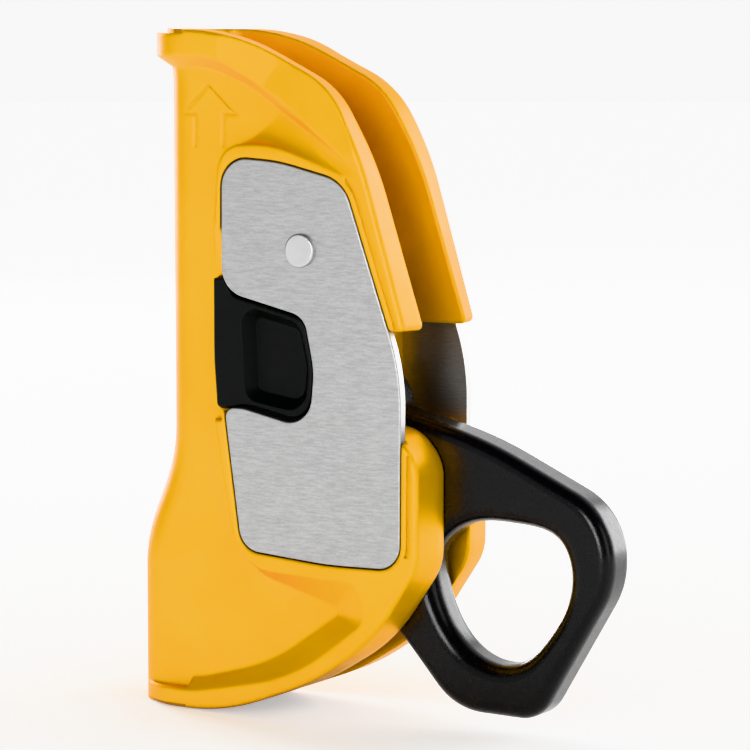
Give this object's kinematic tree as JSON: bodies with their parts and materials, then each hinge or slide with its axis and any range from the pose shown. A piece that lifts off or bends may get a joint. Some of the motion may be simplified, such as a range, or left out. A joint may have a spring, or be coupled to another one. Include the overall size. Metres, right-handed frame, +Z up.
{
  "type": "rope clamp",
  "caption": "Openable cam rope clamp: a U-shaped shell guides the rope, a sprung cam arm grips it and ends in a carabiner eye, and thumb catches free the arm.",
  "frame": {"origin": "on the rope's axis, level with the middle of the shell", "axes": "+Z up along the rope, +X from the rope to the eye, -Y towards the front plate"},
  "size_m": [0.1009, 0.0286, 0.13],
  "materials": {
    "gold_aluminium": "satin anodised gold",
    "brushed_plate": "brushed along the rope",
    "rivet_steel": "turned",
    "link_steel": "tumbled",
    "spring_steel": "drawn",
    "nylon_washer": "matte",
    "black_aluminium": "satin black anodised",
    "bronze_bush": "bored",
    "black_nylon": "fine moulded grain"
  },
  "bodies": {
    "shell": {"shell": "gold_aluminium", "front_plate": "brushed_plate", "rear_plate": "brushed_plate", "pivot_rivet": "rivet_steel", "pivot_sleeve": "rivet_steel", "front_stop_stud": "rivet_steel", "rear_stop_stud": "rivet_steel"},
    "carrier": {"front_link": "link_steel", "rear_link": "link_steel", "link_post": "rivet_steel", "cam_axle": "rivet_steel", "pivot_washers": "nylon_washer", "front_latch_spring": "spring_steel", "rear_latch_spring": "spring_steel"},
    "cam_arm": {"cam_arm": "black_aluminium", "cam_bush": "bronze_bush", "cam_washers": "nylon_washer", "cam_spring": "spring_steel"},
    "front_catch": {"front_thumb_catch": "black_nylon"},
    "rear_catch": {"rear_thumb_catch": "black_nylon"}
  },
  "joints": [
    {"name": "carrier_swing", "type": "hinge", "parent": "shell", "child": "carrier", "pos_m": [0.0224, 0, 0.024], "axis": [0, -1, 0], "range_deg": [0, 60], "deforming": ["front_latch_spring", "rear_latch_spring"]},
    {"name": "cam_turn", "type": "hinge", "parent": "carrier", "child": "cam_arm", "pos_m": [0.0275, 0, -0.0065], "axis": [0, -1, 0], "range_deg": [0, 50], "stiffness_Nm_per_rad": 0.02, "springref_deg": -28.65, "deforming": ["cam_spring"]},
    {"name": "front_catch_press", "type": "slide", "parent": "shell", "child": "front_catch", "axis": [0, 1, 0], "range_m": [0, 0.0011], "stiffness_N_per_m": 400, "springref_m": -0.002},
    {"name": "rear_catch_press", "type": "slide", "parent": "shell", "child": "rear_catch", "axis": [0, -1, 0], "range_m": [0, 0.0011], "stiffness_N_per_m": 400, "springref_m": -0.002}
  ]
}
